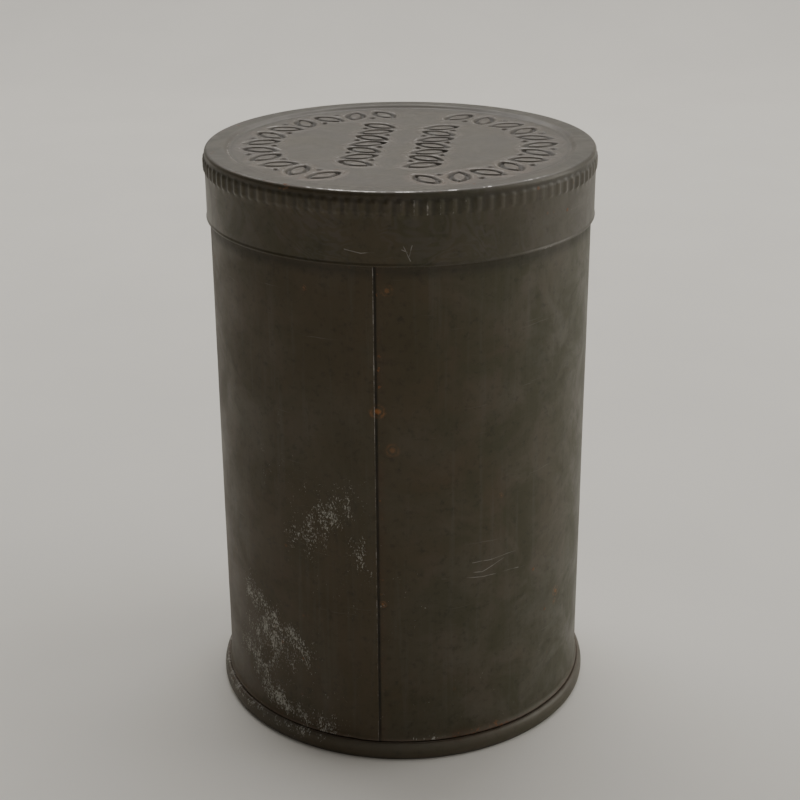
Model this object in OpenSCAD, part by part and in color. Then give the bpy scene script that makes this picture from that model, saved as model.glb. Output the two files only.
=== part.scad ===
// A round slip-lid tin of dark tinplate. Every sheet part is drawn as the middle line
// of its sheet and given the sheet's thickness. Z is up and the tin stands on Z = 0.

/* [Tin] */
// Outside diameter of the wall
tin_d = 130; // [100:1:170]
// Overall height with the lid on
tin_h = 201.3; // [120:0.1:280]
// Thickness of the tinplate
sheet_t = 0.3; // [0.25:0.01:0.4]
// Radius of the roll along the wall's top edge, to the middle of the sheet
curl_r = 0.95; // [0.8:0.05:1.4]

/* [Side seam] */
// Where the lap's outer edge stands, in degrees from +X
seam_a = -97.5; // [-180:0.5:180]
// Width of the lap
lap_w = 6; // [4:0.5:9]
// Width of the step that lifts the sheet over its other end
step_w = 3; // [2:0.5:5]
// Thickness of the solder film in the lap
solder_t = 0.12; // [0.1:0.01:0.2]

/* [Bottom seam] */
// How far the rolled seam stands out from the wall
rim_out = 2.75; // [2.6:0.05:3.6]
// Height of the rolled seam
rim_h = 6.5; // [5.5:0.1:9]
// Outer corner radius at the foot of the seam, to the middle of the sheet
foot_r = 1.2; // [1:0.05:1.25]
// Height of the end panel's middle above the table
panel_z = 5.2; // [4.4:0.1:6]
// Diameter of the end's raised middle
panel_d = 98; // [40:1:98]
// How far the raised middle stands above the end's outer ring
panel_up = 1; // [0.5:0.1:1.2]
// How far the end's hook reaches down inside the seam
end_hook = 3; // [2:0.1:3.2]
// How far the wall's hook reaches up from the foot
wall_hook = 4.4; // [3:0.1:4.6]

/* [Lid] */
// Height of the lid
lid_h = 23.4; // [16:0.1:40]
// Corner radius between the lid's top and its skirt, to the middle of the sheet
lid_corner = 1.3; // [1:0.1:2.5]
// Width of the flat ring outside the recessed panel
ring_w = 6.2; // [4:0.1:9]
// Depth of the recessed panel
panel_drop = 1; // [0.6:0.1:2]
// Height of the folded hem
hem_h = 0.6; // [0.5:0.1:3]

/* [Knurled bead] */
// Depth of the bead's middle below the lid's top
bead_down = 4.8; // [4.4:0.1:8]
// Height of the bead
bead_h = 5.4; // [4:0.1:7]
// How far the bead swells out of the skirt
bead_out = 0.25; // [0.15:0.01:0.4]
// Number of upright ribs on the bead
rib_n = 104; // [60:1:140]
// Radius of each rib
rib_r = 0.9; // [0.6:0.05:1.1]
// Height of the ribs
rib_h = 4.4; // [3:0.1:5.5]
// How far the ribs stand out of the bead
rib_out = 0.22; // [0.1:0.01:0.4]

/* [Ornament] */
// Length of one leaf, outside its groove
leaf_l = 13.6; // [9:0.1:14]
// Width of one leaf, outside its groove
leaf_w = 7.4; // [6.4:0.1:7.6]
// Width of the pressed groove
groove_w = 1.8; // [1:0.1:2]
// Depth of the pressed groove
groove_deep = 0.8; // [0.3:0.05:0.9]
// Radius of the round berries between the leaves
berry_r = 1.2; // [0.8:0.1:1.4]
// Distance of the berries from the line of the leaves
berry_off = 4.6; // [4:0.1:5]
// Distance from the edge of the panel to the middle of the wreath
wreath_in = 11.4; // [10:0.1:14]
// Leaves in each of the wreath's two sprays
spray_n = 12; // [6:1:12]
// Lean of the leaves from the radius
leaf_lean = 24; // [0:1:40]
// Leaves in each middle row
row_n = 7; // [3:1:7]
// Distance between leaves along a row
row_step = 9; // [8:0.1:10]
// Distance between the two rows
row_gap = 22; // [18:0.5:26]
// Turn of the rows from front to back
row_turn = -8; // [-20:1:20]

/* [Liner] */
// Thickness of the card liner
liner_t = 0.6; // [0.4:0.1:1.2]

/* [Fits] */
// Clearance between the lid's skirt and the lap
lid_gap = 0.25; // [0.15:0.01:0.5]
// Clearance round the liner, and over it under the ornament
liner_gap = 0.25; // [0.2:0.01:0.5]
// Clearance between the liner and the wall's rolled edge
seat_gap = 0.05; // [0.02:0.01:0.1]
// Clearance between sheets in the bottom seam
seam_gap = 0.05; // [0.03:0.01:0.08]
// Clearance between the end's hook and the wall
hook_gap = 0.1; // [0.05:0.01:0.2]

/* [Hidden] */
$fn = 240;
arc_n = 5;
half_t = sheet_t / 2;

// Radii of the wall and its lap
wall_out = tin_d / 2;
wall_mid = wall_out - half_t;
wall_in = wall_out - sheet_t;
lap_mid = wall_mid + sheet_t + solder_t;
lap_out = lap_mid + half_t;
lap_a = lap_w / wall_out * 180 / PI;
step_a = step_w / wall_out * 180 / PI;
seam_low = seam_a - lap_a;
step_low = seam_low - step_a;

// How far the step's ends sink into the sheets they join, along and across
bite_a = 0.8;
bite_r = 0.05;

// Radii and heights of the bottom seam
chuck_mid = wall_in - seam_gap - half_t;
foot_z = half_t + foot_r;
foot_in = chuck_mid + foot_r;
seam_mid = wall_out + rim_out - half_t;
hook_mid = wall_out + hook_gap + half_t;
roll_r = (seam_mid - hook_mid) / 2;
roll_mid = (seam_mid + hook_mid) / 2;
roll_z = rim_h - half_t - roll_r;
inner_turn = foot_in - wall_mid;
flange_z = foot_z - inner_turn;
outer_turn = 0.45;
drop_r = 1;
panel_run = 2;

// Radii and heights of the lid
skirt_mid = lap_out + lid_gap + half_t;
skirt_in = skirt_mid - half_t;
lid_top = tin_h - half_t;
lid_panel = lid_top - panel_drop;
panel_r = skirt_mid + half_t - lid_corner - ring_w;
wreath_r = panel_r - wreath_in;
hem_slack = 0.03;
hem_r = half_t + hem_slack;
hem_z = tin_h - lid_h + half_t + hem_r;
bead_z = tin_h - bead_down;
bead_slope = 0.9;
panel_slope = 0.8;
rib_at = skirt_mid + half_t + bead_out + rib_out - rib_r;

// The liner hangs below the ornament, and the wall ends below the liner
liner_top = lid_panel - half_t - groove_deep - liner_gap;
liner_low = liner_top - liner_t;
liner_r = skirt_in - liner_gap;
wall_top = liner_low - seat_gap;
curl_z = wall_top - half_t - curl_r;
lap_low = rim_h + sheet_t;
lap_top = curl_z - 5 * sheet_t;

// One leaf is two arcs that meet at its tips
leaf_arc = (leaf_l * leaf_l / 4 + leaf_w * leaf_w / 4) / leaf_w;
leaf_off = leaf_arc - leaf_w / 2;

function unit(v) = v / norm(v);
function normal(p, i) = let (u = unit(p[i + 1] - p[i])) [-u[1], u[0]];
function side(p, i, d) =
    let (n1 = normal(p, max(i - 1, 0)), n2 = normal(p, min(i, len(p) - 2)))
    p[i] + (n1 + n2) * d / (1 + n1 * n2);
function arc(c, r, a0, a1) =
    [for (i = [0:arc_n]) let (a = a0 + (a1 - a0) * i / arc_n) c + r * [cos(a), sin(a)]];

// A sheet part of revolution, from the middle line of its section
module spun_sheet(line) {
    last = len(line) - 1;
    rotate_extrude()
        polygon(concat([for (i = [0:last]) side(line, i, half_t)],
                       [for (i = [last:-1:0]) side(line, i, -half_t)]));
}

// The part of a ring between two angles less than a half turn apart
module ring_sector(r0, r1, a0, a1) {
    far = 2 * r1;
    intersection() {
        difference() {
            circle(r1);
            circle(r0);
        }
        polygon([[0, 0], far * [cos(a0), sin(a0)], far * [cos((a0 + a1) / 2), sin((a0 + a1) / 2)],
                 far * [cos(a1), sin(a1)]]);
    }
}

// The sloping step, whose ends sink into the wall and into the lap's outer layer
module step_section() {
    low = [cos(step_low - bite_a), sin(step_low - bite_a)];
    high = [cos(seam_low + bite_a), sin(seam_low + bite_a)];
    polygon([low * (wall_in + bite_r), low * (wall_out - bite_r),
             high * (lap_out - bite_r), high * (lap_out - sheet_t + bite_r)]);
}

module lapped_section() {
    difference() {
        circle(wall_out);
        circle(wall_in);
        polygon([[0, 0], 2 * wall_out * [cos(step_low), sin(step_low)],
                 2 * wall_out * [cos(seam_low), sin(seam_low)]]);
    }
    step_section();
    ring_sector(lap_mid - half_t, lap_out, seam_low, seam_a);
}

module wall_ring(z0, z1) {
    translate([0, 0, z0]) linear_extrude(z1 - z0) difference() {
        circle(wall_out);
        circle(wall_in);
    }
}

module body_sheet() {
    foot = [foot_in, foot_z];
    turn = [roll_mid - outer_turn, flange_z + outer_turn];
    color("#4a463c") {
        translate([0, 0, lap_low]) linear_extrude(lap_top - lap_low) lapped_section();
        wall_ring(foot_z, lap_low);
        wall_ring(lap_top, curl_z);
        spun_sheet(arc([wall_mid - curl_r, curl_z], curl_r, 0, 290));
        spun_sheet(concat(arc(foot, inner_turn, 180, 270),
                          arc(turn, outer_turn, 270, 360),
                          [[roll_mid, wall_hook]]));
    }
}

// The film in the lap, and the fillet that fills the hollow under the step
module side_seam_solder() {
    near_a = seam_low - 0.05;
    far_a = step_low + 0.4 * step_a;
    near = [cos(near_a), sin(near_a)];
    far = [cos(far_a), sin(far_a)];
    foot = wall_in + bite_r;
    color("#8c8a84") translate([0, 0, lap_low]) linear_extrude(lap_top - lap_low) {
        ring_sector(wall_out, wall_out + solder_t, seam_low + bite_a, seam_a);
        polygon([far * foot, near * foot, near * (foot + 0.6 * sheet_t)]);
    }
}

module bottom_end() {
    ring_z = panel_z - panel_up;
    color("#45413a") spun_sheet(concat(
        [[0, panel_z], [panel_d / 2, panel_z], [panel_d / 2 + panel_run, ring_z]],
        arc([chuck_mid - drop_r, ring_z - drop_r], drop_r, 90, 0),
        arc([foot_in, foot_z], foot_r, 180, 270),
        arc([seam_mid - foot_r, foot_z], foot_r, 270, 360),
        arc([roll_mid, roll_z], roll_r, 0, 180),
        [[hook_mid, rim_h - end_hook - half_t]]));
}

module seam_compound() {
    r0 = hook_mid + half_t + seam_gap;
    r1 = roll_mid - half_t - seam_gap;
    z0 = flange_z + half_t + seam_gap + outer_turn;
    color("#2b2a28") rotate_extrude() translate([r0, z0]) square([r1 - r0, wall_hook - z0]);
}

module lid_liner() {
    color("#8a744f") translate([0, 0, liner_low]) cylinder(h = liner_t, r = liner_r);
}

// The ring of a leaf's outline, from d0 outside it to d1 inside it
module leaf(d0, d1) {
    difference() {
        leaf_area(d0);
        leaf_area(-d1);
    }
}

// A leaf's area grown outward by d
module leaf_area(d) {
    intersection() {
        translate([0, leaf_off]) circle(leaf_arc + d, $fn = 72);
        translate([0, -leaf_off]) circle(leaf_arc + d, $fn = 72);
    }
}

// A leaf that leans one way, with a berry where it opens away from the next one
module sprig(way, step, d0, d1, last) {
    rotate(way * leaf_lean) leaf(d0, d1);
    if (!last) translate(step) circle(berry_r + d0, $fn = 36);
}

// The wreath of two sprays and the two middle rows, grown outward by d0 and inward by d1
module ornament(d0, d1) {
    sprays = [[97, 239], [-80, 63]];
    for (s = sprays) for (i = [0:spray_n - 1]) {
        pitch = (s[1] - s[0]) / (spray_n - 1);
        way = i % 2 == 0 ? 1 : -1;
        out = wreath_r - way * berry_off;
        rotate(s[0] + pitch * i) translate([wreath_r, 0])
            sprig(way, [out * cos(pitch / 2) - wreath_r, out * sin(pitch / 2)], d0, d1, i == spray_n - 1);
    }
    rotate(row_turn) for (k = [-1, 1]) for (i = [0:row_n - 1]) {
        way = (i % 2 == 0 ? 1 : -1) * k;
        translate([k * row_gap / 2, (i - (row_n - 1) / 2) * row_step])
            sprig(way, [-way * berry_off, row_step / 2], d0, d1, i == row_n - 1);
    }
}

module rib_section() {
    difference() {
        for (i = [0:rib_n - 1]) rotate(i * 360 / rib_n) translate([rib_at, 0]) circle(rib_r, $fn = 24);
        circle(skirt_mid);
    }
}

module lid_cover() {
    bead = bead_h / 2;
    color("#55514a") difference() {
        union() {
            spun_sheet(concat(
                [[0, lid_panel], [panel_r - panel_slope, lid_panel], [panel_r + panel_slope, lid_top]],
                arc([skirt_mid - lid_corner, lid_top - lid_corner], lid_corner, 90, 0),
                [[skirt_mid, bead_z + bead],
                 [skirt_mid + bead_out, bead_z + bead - bead_slope],
                 [skirt_mid + bead_out, bead_z - bead + bead_slope],
                 [skirt_mid, bead_z - bead]],
                arc([skirt_mid + hem_r, hem_z], hem_r, 180, 360),
                [[skirt_mid + 2 * hem_r, hem_z + hem_h - hem_r]]));
            translate([0, 0, bead_z - rib_h / 2]) linear_extrude(rib_h) rib_section();
            translate([0, 0, lid_panel - half_t - groove_deep]) linear_extrude(groove_deep + half_t)
                ornament(sheet_t, groove_w + sheet_t);
        }
        translate([0, 0, lid_panel + half_t - groove_deep]) linear_extrude(2 * groove_deep)
            ornament(0, groove_w);
    }
}

body_sheet();
side_seam_solder();
bottom_end();
seam_compound();
lid_liner();
lid_cover();
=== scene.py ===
import math

import bpy
import numpy as np
from mathutils import Matrix, Vector, noise


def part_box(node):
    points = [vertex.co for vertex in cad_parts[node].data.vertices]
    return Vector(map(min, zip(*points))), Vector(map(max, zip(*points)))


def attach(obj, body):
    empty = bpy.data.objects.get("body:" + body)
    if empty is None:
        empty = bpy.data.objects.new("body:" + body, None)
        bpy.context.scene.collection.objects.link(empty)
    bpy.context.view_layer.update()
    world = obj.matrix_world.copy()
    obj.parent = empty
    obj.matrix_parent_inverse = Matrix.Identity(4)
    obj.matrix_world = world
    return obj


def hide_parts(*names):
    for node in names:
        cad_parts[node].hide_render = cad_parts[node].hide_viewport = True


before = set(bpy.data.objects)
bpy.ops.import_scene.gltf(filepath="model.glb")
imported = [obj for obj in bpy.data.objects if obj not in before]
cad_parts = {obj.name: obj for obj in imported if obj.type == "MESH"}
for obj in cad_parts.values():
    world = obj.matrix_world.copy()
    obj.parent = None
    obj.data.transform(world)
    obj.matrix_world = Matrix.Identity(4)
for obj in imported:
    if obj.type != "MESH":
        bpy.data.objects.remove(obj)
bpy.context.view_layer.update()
mm = 0.001
wallOut = 65.0                                # radius of the wall, mm
degreeRun = wallOut * math.pi / 180          # mm round the drum for one degree


# small helpers for sheet metal

def boxOf(node):
    low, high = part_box(node)
    return np.array(low) / mm, np.array(high) / mm


def smooth(x, low, high):
    t = np.clip((np.asarray(x, float) - low) / (high - low), 0, 1)
    return t * t * (3 - 2 * t)


def bump(x, middle, width):
    return np.exp(-((np.asarray(x, float) - middle) / width) ** 2)


def turnOf(theta, degrees):
    # signed difference of two angles, in degrees
    return (np.degrees(theta) - degrees + 180) % 360 - 180


def patch(turn, level, start, end, width):
    # a soft slanted patch on the drum between two places, each (degrees from the front, mm up)
    u, v = turn * degreeRun, level
    a = np.array([start[0] * degreeRun, start[1]])
    b = np.array([end[0] * degreeRun, end[1]])
    span = b - a
    along = np.clip(((u - a[0]) * span[0] + (v - a[1]) * span[1]) / (span @ span), 0, 1)
    far = np.hypot(u - a[0] - along * span[0], v - a[1] - along * span[1])
    return np.exp(-(far / width) ** 2)


def towardBack(turn, value, other):
    # eases a value given for the front half into another one round the back
    share = smooth(np.abs(turn), 85, 140)
    return value * (1 - share) + other * share


def arcPoints(middle, radius, start, end, steps):
    angles = np.radians(np.linspace(start, end, steps + 1))
    return [(middle[0] + radius * math.cos(a), middle[1] + radius * math.sin(a)) for a in angles]


def linePoints(a, b, step):
    count = max(1, int(math.hypot(b[0] - a[0], b[1] - a[1]) / step))
    return [(a[0] + (b[0] - a[0]) * i / count, a[1] + (b[1] - a[1]) * i / count) for i in range(count + 1)]


def joined(*runs):
    # one line out of several, without doubled points
    line = []
    for run in runs:
        for p in run:
            if not line or math.hypot(p[0] - line[-1][0], p[1] - line[-1][1]) > 1e-4:
                line.append(p)
    return line


def offsetLine(line, distance):
    # the line moved sideways by distance, with mitred corners
    p = np.array(line, float)
    d = np.diff(p, axis=0)
    d /= np.linalg.norm(d, axis=1)[:, None]
    n = np.stack([-d[:, 1], d[:, 0]], 1)
    before = np.vstack([n[:1], n])
    after = np.vstack([n, n[-1:]])
    shift = (before + after) / (1 + (before * after).sum(1))[:, None]
    moved = p + shift * distance
    moved[:, 0] = np.maximum(moved[:, 0], 0)
    return moved


def fieldNoise(x, y, z, size, seed):
    # soft random field over arrays of places, about -1 to 1; size is a wave's length in mm
    out = np.empty(len(x))
    shift = Vector((seed * 17.3, seed * 5.1, seed * 9.7))
    for i in range(len(x)):
        out[i] = noise.noise(Vector((x[i] / size, y[i] / size, z[i] / size)) + shift)
    return out


def coarseNoise(theta, level, radius, size, seed):
    # the same field on a drum, read on a coarse grid and spread smoothly, so that big meshes stay quick
    rows = 48
    cols = 96
    low, high = float(level.min()), float(level.max()) + 1e-6
    ta = np.linspace(0, 2 * math.pi, cols, endpoint=False)
    za = np.linspace(low, high, rows)
    tt, zz = np.meshgrid(ta, za)
    grid = fieldNoise(radius * np.cos(tt).ravel(), radius * np.sin(tt).ravel(), zz.ravel(), size, seed)
    grid = grid.reshape(rows, cols)
    u = (theta % (2 * math.pi)) / (2 * math.pi) * cols
    v = (level - low) / (high - low) * (rows - 1)
    u0 = np.floor(u).astype(int)
    v0 = np.minimum(np.floor(v).astype(int), rows - 2)
    fu = u - u0
    fv = v - v0
    fu = fu * fu * (3 - 2 * fu)
    fv = fv * fv * (3 - 2 * fv)
    a = grid[v0, u0 % cols]
    b = grid[v0, (u0 + 1) % cols]
    c = grid[v0 + 1, u0 % cols]
    d = grid[v0 + 1, (u0 + 1) % cols]
    return (a * (1 - fu) + b * fu) * (1 - fv) + (c * (1 - fu) + d * fu) * fv


def spunPiece(name, outline, angles, shape=None, marks=None, closed=True):
    # outline: (r, z) rows of a section in mm; a row on the axis becomes one point.
    # shape(r, z, theta, row) gives moved (r, z); marks, asked the same, gives named values from 0 to 1.
    outline = np.array(outline, float)
    rows, cols = len(outline), len(angles)
    rr = np.repeat(outline[:, 0][:, None], cols, 1)
    zz = np.repeat(outline[:, 1][:, None], cols, 1)
    tt = np.repeat(np.array(angles)[None, :], rows, 0)
    ii = np.repeat(np.arange(rows)[:, None], cols, 1)
    pole = outline[:, 0] < 1e-6
    flatR, flatZ, flatT, flatI = rr.ravel(), zz.ravel(), tt.ravel(), ii.ravel()
    newR, newZ = shape(flatR.copy(), flatZ.copy(), flatT, flatI) if shape else (flatR, flatZ)
    places = np.stack([newR * np.cos(flatT), newR * np.sin(flatT), newZ], 1) * mm
    number = np.arange(rows * cols).reshape(rows, cols)
    for r in np.flatnonzero(pole):
        number[r, :] = number[r, 0]
        places[number[r, 0]] = (0, 0, newZ.reshape(rows, cols)[r].mean() * mm)
    faces = []
    pairs = [(r, r + 1) for r in range(rows - 1)]
    if closed and not (pole[0] and pole[-1]):
        pairs.append((rows - 1, 0))
    for a, b in pairs:
        if pole[a] and pole[b]:
            continue
        q = np.stack([number[a], np.roll(number[a], -1), np.roll(number[b], -1), number[b]], 1)
        if pole[a]:
            faces += q[:, [0, 2, 3]].tolist()
        elif pole[b]:
            faces += q[:, [0, 1, 3]].tolist()
        else:
            faces += q.tolist()
    used = np.unique(np.concatenate([np.ravel(f) for f in faces]))
    renumber = -np.ones(rows * cols, int)
    renumber[used] = np.arange(len(used))
    faces = [[int(renumber[i]) for i in f] for f in faces]
    mesh = bpy.data.meshes.new(name)
    mesh.from_pydata(places[used].tolist(), [], faces)
    if marks:
        for key, value in marks(flatR, flatZ, flatT, flatI).items():
            layer = mesh.attributes.new(key, "FLOAT", "POINT")
            layer.data.foreach_set("value", np.clip(value, 0, 1)[used].astype(np.float32))
    mesh.validate()
    mesh.update()
    piece = bpy.data.objects.new(name, mesh)
    bpy.context.scene.collection.objects.link(piece)
    setNormals(piece)
    return piece


def setNormals(piece):
    mesh = piece.data
    bpy.context.view_layer.objects.active = piece
    piece.select_set(True)
    bpy.ops.object.mode_set(mode="EDIT")
    bpy.ops.mesh.select_all(action="SELECT")
    bpy.ops.mesh.normals_make_consistent(inside=False)
    bpy.ops.object.mode_set(mode="OBJECT")
    mesh.shade_smooth()
    mesh.set_sharp_from_angle(angle=math.radians(50))
    piece.select_set(False)


# materials

class Mixer:
    # short names for the shader nodes that the finishes are mixed from
    def __init__(self, name):
        self.material = bpy.data.materials.new(name)
        self.material.use_nodes = True
        self.tree = self.material.node_tree
        self.shader = self.tree.nodes["Principled BSDF"]
        self.coords = self.tree.nodes.new("ShaderNodeTexCoord").outputs["Object"]

    def feed(self, socket, value):
        if isinstance(value, bpy.types.NodeSocket):
            self.tree.links.new(value, socket)
        else:
            socket.default_value = value

    def vector(self, kind, a, b=None, scale=None):
        node = self.tree.nodes.new("ShaderNodeVectorMath")
        node.operation = kind
        self.feed(node.inputs[0], a)
        if b is not None:
            self.feed(node.inputs[1], b)
        if scale is not None:
            self.feed(node.inputs["Scale"], scale)
        isNumber = kind in ("DISTANCE", "LENGTH", "DOT_PRODUCT")
        return node.outputs["Value" if isNumber else "Vector"]

    def unrolled(self):
        # the drum's surface laid flat: metres round from the front, metres up
        parts = self.tree.nodes.new("ShaderNodeSeparateXYZ")
        self.feed(parts.inputs[0], self.coords)
        turn = self.sums("ARCTAN2", parts.outputs["X"], self.sums("MULTIPLY", parts.outputs["Y"], -1.0))
        joint = self.tree.nodes.new("ShaderNodeCombineXYZ")
        self.feed(joint.inputs["X"], self.sums("MULTIPLY", turn, wallOut * mm))
        self.feed(joint.inputs["Y"], parts.outputs["Z"])
        return joint.outputs[0]

    def nearPoint(self, flat, place):
        point = (place[0] * degreeRun * mm, place[1] * mm, 0)
        return self.vector("DISTANCE", flat, point)

    def nearLine(self, flat, start, end):
        a = Vector((start[0] * degreeRun * mm, start[1] * mm, 0))
        span = Vector((end[0] * degreeRun * mm, end[1] * mm, 0)) - a
        way = self.vector("SUBTRACT", flat, a)
        share = self.vector("DOT_PRODUCT", way, span / span.length_squared)
        along = self.sums("MULTIPLY", share, 1.0, clamp=True)
        return self.vector("LENGTH", self.vector("SUBTRACT", way, self.vector("SCALE", span, scale=along)))

    def stretched(self, x, y, z, turn=(0, 0, 0), vector=None):
        node = self.tree.nodes.new("ShaderNodeMapping")
        self.feed(node.inputs["Vector"], vector or self.coords)
        node.inputs["Scale"].default_value = (x, y, z)
        node.inputs["Rotation"].default_value = turn
        return node.outputs["Vector"]

    def cloud(self, scale, detail=6, rough=0.6, twist=0.0, vector=None):
        node = self.tree.nodes.new("ShaderNodeTexNoise")
        self.feed(node.inputs["Vector"], vector or self.coords)
        for key, value in (("Scale", scale), ("Detail", detail), ("Roughness", rough), ("Distortion", twist)):
            node.inputs[key].default_value = value
        return node.outputs["Fac"]

    def cells(self, scale, vector=None, feature="F1", out="Distance"):
        node = self.tree.nodes.new("ShaderNodeTexVoronoi")
        node.feature = feature
        self.feed(node.inputs["Vector"], vector or self.coords)
        node.inputs["Scale"].default_value = scale
        return node.outputs[out]

    def step(self, value, low, high, a=0.0, b=1.0):
        node = self.tree.nodes.new("ShaderNodeMapRange")
        node.interpolation_type = "SMOOTHSTEP"
        self.feed(node.inputs["Value"], value)
        for key, number in (("From Min", low), ("From Max", high), ("To Min", a), ("To Max", b)):
            node.inputs[key].default_value = number
        return node.outputs["Result"]

    def sums(self, kind, a, b, clamp=False):
        node = self.tree.nodes.new("ShaderNodeMath")
        node.operation = kind
        node.use_clamp = clamp
        self.feed(node.inputs[0], a)
        self.feed(node.inputs[1], b)
        return node.outputs[0]

    def times(self, *values):
        out = values[0]
        for value in values[1:]:
            out = self.sums("MULTIPLY", out, value)
        return out

    def plus(self, *values):
        out = values[0]
        for value in values[1:]:
            out = self.sums("ADD", out, value, clamp=True)
        return out

    def mark(self, name):
        node = self.tree.nodes.new("ShaderNodeAttribute")
        node.attribute_name = name
        return node.outputs["Fac"]

    def over(self, share, below, above):
        node = self.tree.nodes.new("ShaderNodeMix")
        node.data_type = "RGBA"
        self.feed(node.inputs[0], share)
        for socket, value in ((node.inputs[6], below), (node.inputs[7], above)):
            self.feed(socket, value if isinstance(value, bpy.types.NodeSocket) else (*value, 1))
        return node.outputs[2]

    def relief(self, *layers):
        # each layer is (height, depth in mm)
        normal = None
        for height, depth in layers:
            node = self.tree.nodes.new("ShaderNodeBump")
            node.inputs["Distance"].default_value = depth * mm
            node.inputs["Strength"].default_value = 1
            self.feed(node.inputs["Height"], height)
            if normal:
                self.feed(node.inputs["Normal"], normal)
            normal = node.outputs["Normal"]
        self.feed(self.shader.inputs["Normal"], normal)

    def finish(self, colour, rough, metal=0.0, specular=0.5):
        self.feed(self.shader.inputs["Base Color"], colour if not isinstance(colour, tuple) else (*colour, 1))
        self.feed(self.shader.inputs["Roughness"], rough)
        self.feed(self.shader.inputs["Metallic"], metal)
        self.shader.inputs["Specular IOR Level"].default_value = specular
        return self.material


patina = {
    "brown": (0.064, 0.0455, 0.021),
    "olive": (0.049, 0.046, 0.021),
    "greyGreen": (0.088, 0.083, 0.062),
    "dark": (0.015, 0.013, 0.007),
    "rust": (0.170, 0.072, 0.026),
    "deepRust": (0.066, 0.036, 0.016),
    "speck": (0.44, 0.43, 0.38),
    "orange": (0.340, 0.140, 0.045),
    # bare metal, also the colour of painted highlights and glints
    "bareMetalAndGlint": (0.38, 0.36, 0.34),
    # the lid's pale grey: partly patina, partly painted sky reflection on its top
    "lidGreyAndSheen": (0.092, 0.081, 0.071),
    "tan": (0.190, 0.140, 0.108),
}
# places on the drum are (degrees from the front, mm up)
# rust spots: place, radius in mm, strength
wallSpots = (
    ((-3.9, 170.1), 1.6, 0.35), ((-2.7, 116.3), 1.9, 0.35), ((-6.8, 129.7), 2.0, 0.9),
    ((55.6, 49.3), 1.6, 0.5), ((55.0, 45.5), 1.0, 0.3), ((-27.9, 168.8), 0.8, 0.4),
    ((-5.9, 60.0), 1.0, 0.5), ((30.0, 96.0), 0.8, 0.3),
)
# worn specks in soft patches: strength, start, end, width in mm
speckPatches = (
    (1.05, (-55, 52), (-32, 36), 6.5), (0.75, (-56, 38), (-44, 33), 8), (0.85, (-60, 27), (-46, 15), 6.5),
    (0.80, (-46, 12), (-22, 8), 3.6), (0.66, (-31, 80), (-17, 97), 7.5), (0.70, (-13, 73), (-11.5, 81), 3.0),
    (0.60, (2, 7.4), (13, 7.2), 1.2), (0.40, (-44, 22), (-20, 14), 12), (0.32, (-40, 110), (-8, 60), 22),
    (0.24, (5, 20), (45, 20), 14),
)
# scratches: start, end
wallScratches = (
    ((11.5, 68.6), (23.5, 68.0)), ((23.5, 68.0), (37.0, 66.8)), ((14.0, 70.9), (24.0, 69.6)),
    ((24.0, 69.6), (32.0, 72.8)), ((21.0, 73.4), (37.5, 73.9)),
)
skirtScratches = (
    ((-15.0, 182.9), (-10.5, 182.0)), ((-10.5, 182.0), (-6.8, 182.2)), ((-1.0, 189.6), (0.6, 184.6)),
    ((0.6, 184.6), (2.4, 180.0)), ((0.2, 183.2), (1.7, 182.6)), ((3.2, 184.8), (2.2, 181.5)),
)


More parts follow.
